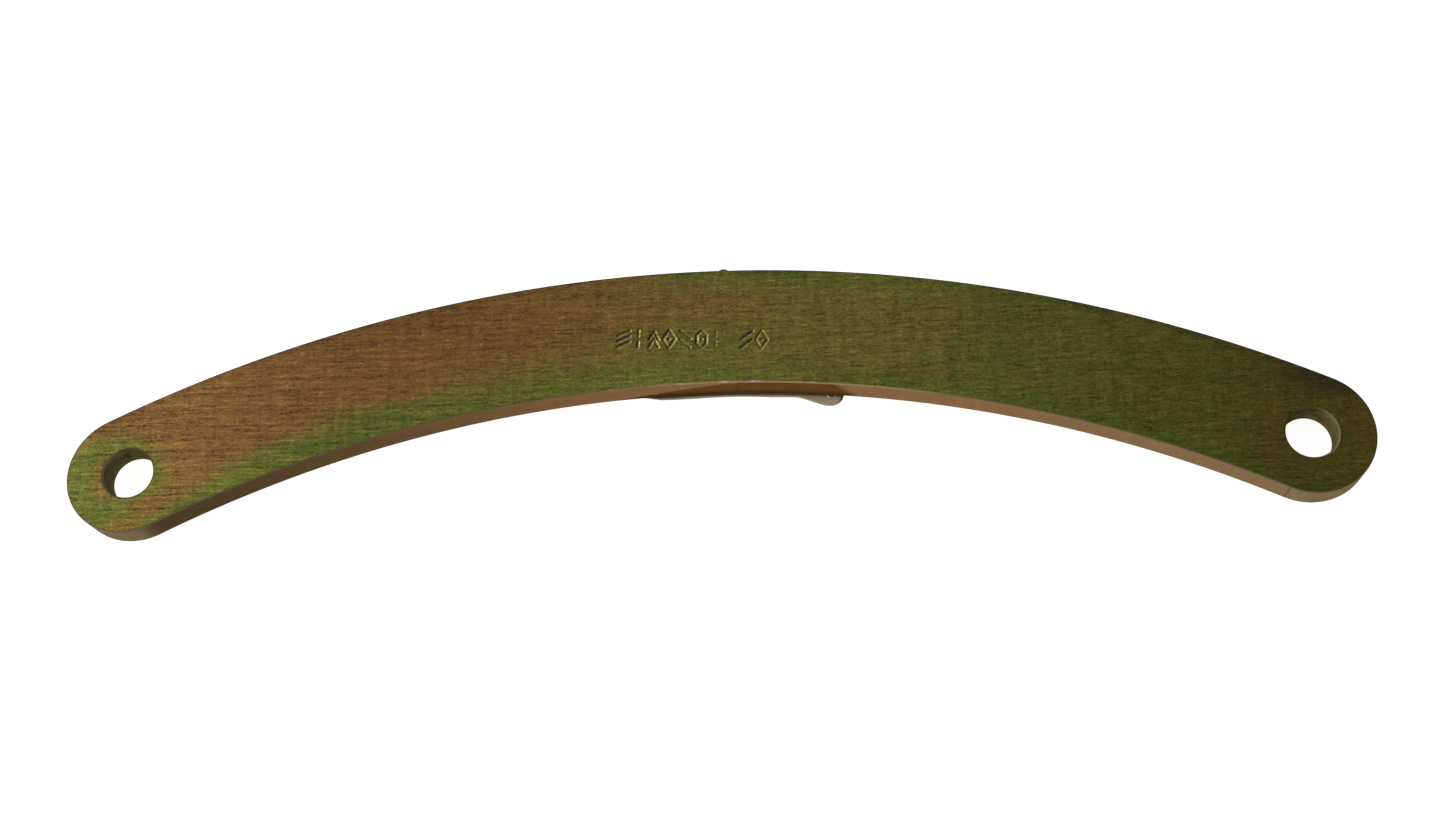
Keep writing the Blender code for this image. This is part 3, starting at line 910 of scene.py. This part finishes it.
def screw(seat):
    """Button head below its seat, threaded shank above it, and a hexagon socket in the crown."""
    crown = SCREW_HEAD_HEIGHT - SCREW_HEAD_RIM
    radius = (SCREW_HEAD**2 + crown**2) / (2 * crown)
    dome = radius - SCREW_HEAD_HEIGHT
    mouth_angle = -math.acos(SOCKET_MOUTH / radius)
    rim_angle = -math.acos(SCREW_HEAD / radius)
    mouth = dome + radius * math.sin(mouth_angle)
    floor_at = -SCREW_HEAD_HEIGHT + SOCKET_DEPTH
    bm = turned(
        [
            (0, floor_at + SOCKET_CONE),
            (SOCKET_FLATS, floor_at),
            (SOCKET_FLATS, mouth + SOCKET_EASE),
            *round_profile(dome, radius, mouth_angle, rim_angle, 14),
            (SCREW_HEAD, -HEAD_EASE),
            (SCREW_HEAD - HEAD_EASE, 0),
            (THREAD_CORE, 0),
            (THREAD_CORE, SCREW_GRIP - SCREW_POINT),
            (THREAD_CORE - SCREW_POINT, SCREW_GRIP),
            (0, SCREW_GRIP),
        ],
        60,
    )
    for vert in bm.verts:
        reach = math.hypot(vert.co.x, vert.co.y)
        if abs(reach - SOCKET_FLATS) < CLOSE:
            scale = hex_reach(math.atan2(vert.co.y, vert.co.x)) / reach
            vert.co.x *= scale
            vert.co.y *= scale
    turns = int((SCREW_GRIP - 2 * SCREW_POINT) / THREAD_PITCH)
    half = THREAD_PITCH * 0.42
    root = THREAD_CORE * 0.95
    section = ((root, -half), (THREAD_CREST, 0), (root, half))
    face = bm.faces.new([bm.verts.new((out, 0, half + up)) for out, up in section])
    bmesh.ops.spin(
        bm,
        geom=[*face.verts, *face.edges, face],
        cent=(0, 0, 0),
        axis=(0, 0, 1),
        dvec=(0, 0, THREAD_PITCH / THREAD_STEPS),
        angle=math.tau * turns,
        steps=THREAD_STEPS * turns,
    )
    bmesh.ops.translate(bm, verts=bm.verts, vec=seat)
    return bm


def split_washer(low, high):
    """A square-section ring with a split, one end sprung a little above the other."""
    bm = bmesh.new()
    middle = (low + high) / 2
    out = (high.x - low.x) / 2
    tall = (high.z - low.z) / 2 - WASHER_RISE / 2
    section = ((SCREW_PASS, -tall), (out, -tall), (out, tall), (SCREW_PASS, tall))
    face = bm.faces.new([bm.verts.new((radius, 0, up - WASHER_RISE / 2)) for radius, up in section])
    rounded_corners(bm, face.verts[:], WASHER_EASE, 2)
    bmesh.ops.spin(
        bm,
        geom=bm.verts[:] + bm.edges[:] + bm.faces[:],
        cent=(0, 0, 0),
        axis=(0, 0, 1),
        dvec=(0, 0, WASHER_RISE / WASHER_STEPS),
        angle=math.tau - WASHER_SPLIT,
        steps=WASHER_STEPS,
    )
    bmesh.ops.translate(bm, verts=bm.verts, vec=middle)
    return bm


def bright_zinc():
    """Cold-headed screw under bright zinc, dulled a little in the socket."""
    zinc = Finish("screw_zinc", (0.6, 0.6, 0.57), 0.26, 1.0)
    haze = zinc.cloud((1.5, 1.5, 1.5), 3.0, 0.6)
    fine = zinc.cloud((0.2, 0.2, 0.2), 2.0, 0.6, (3, 3, 3))
    colour = zinc.mix(haze.rising(-0.2, 1.2), (0.62, 0.61, 0.58, 1), (0.5, 0.46, 0.36, 1))
    zinc.set("Base Color", zinc.shade(colour, 1 + fine * 0.06))
    zinc.set("Roughness", 0.26 + haze * 0.06)
    zinc.relief(fine, 0.004, 0.5)
    return zinc.material


def sprung_steel():
    """Hardened washer wire with a thin dark oil film."""
    wire = Finish("washer_steel", (0.3, 0.29, 0.27), 0.34, 0.95)
    haze = wire.cloud((1.8, 1.8, 0.8), 3.0, 0.6)
    fine = wire.cloud((0.2, 0.2, 0.2), 2.0, 0.6, (3, 3, 3))
    colour = wire.mix(haze.rising(-0.6, 1.0), (0.24, 0.225, 0.2, 1), (0.38, 0.37, 0.35, 1))
    wire.set("Base Color", wire.shade(colour, 1 + fine * 0.08))
    wire.set("Roughness", 0.34 + haze * 0.06)
    wire.relief(fine, 0.006, 0.5)
    return wire.material


zinc = bright_zinc()
wire = sprung_steel()
for number, spot in enumerate(screw_spots, 1):
    washer_low, washer_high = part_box(f"lock_washer_{number}")
    seat = Vector((spot.x, spot.y, washer_low.z - CLEARANCE))
    made_screw = piece(f"button_head_screw_{number}", screw(seat), zinc)
    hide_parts(f"leaf_screw_{number}")
    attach(made_screw, "bar")
    washer = piece(f"split_washer_{number}", split_washer(washer_low, washer_high), wire)
    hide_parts(f"lock_washer_{number}")
    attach(washer, "bar")


# ---------------------------------------------------------------------------------------------
# Stage: a plain pale floor, soft light from the left and above, and the camera.
# ---------------------------------------------------------------------------------------------

bm = bmesh.new()
bmesh.ops.create_grid(bm, x_segments=2, y_segments=2, size=12.0)
pale_floor = Finish("pale_floor", (0.4, 0.4, 0.4), 0.85, 0.0)
pale_floor.set("Emission Color", (1, 1, 1, 1))
pale_floor.set("Emission Strength", 0.9)
floor = piece("floor", bm, pale_floor.material)

# The room is lit from its left: its walls and ceiling are pale there and greyer to the right, and
# it is palest low down, where the walls meet the floor.
SKY_MIDDLE = 0.55
SKY_LEAN = 0.32
SKY_LOW = 0.45
world = bpy.data.worlds.new("studio")
world.use_nodes = True
bpy.context.scene.world = world
sky = Nodes(world.node_tree)
to_right, up = sky.axes(sky.node("ShaderNodeTexCoord", output="Generated"), "XZ")
strength = SKY_MIDDLE - to_right * SKY_LEAN + (1 - abs(up)) ** 5 * SKY_LOW
background = sky.tree.nodes["Background"]
sky.feed(background.inputs["Color"], (1, 1, 1, 1))
sky.feed(background.inputs["Strength"], strength)


def softbox(name, place, size, power):
    """A square light aimed at the middle of the part."""
    light = bpy.data.lights.new(name, "AREA")
    light.size = size
    light.energy = power
    lamp = bpy.data.objects.new(name, light)
    lamp.location = place
    lamp.rotation_euler = (-Vector(place)).to_track_quat("-Z", "Y").to_euler()
    bpy.context.scene.collection.objects.link(lamp)


softbox("key", (-1.1, 0.35, 0.95), 0.6, 7)
softbox("front_fill", (-0.7, -1.1, 0.7), 0.9, 5)

lens = bpy.data.cameras.new("camera")
lens.lens = 43.68
lens.sensor_width = 36.0
lens.shift_x = -0.0342
lens.shift_y = 0.0114
camera = bpy.data.objects.new("camera", lens)
camera.location = (0.05689, -0.2706, 0.68266)
camera.rotation_euler = [math.radians(angle) for angle in (20.95, 3.144, -0.961)]
bpy.context.scene.collection.objects.link(camera)
bpy.context.scene.camera = camera
bpy.context.scene.view_settings.view_transform = "Standard"
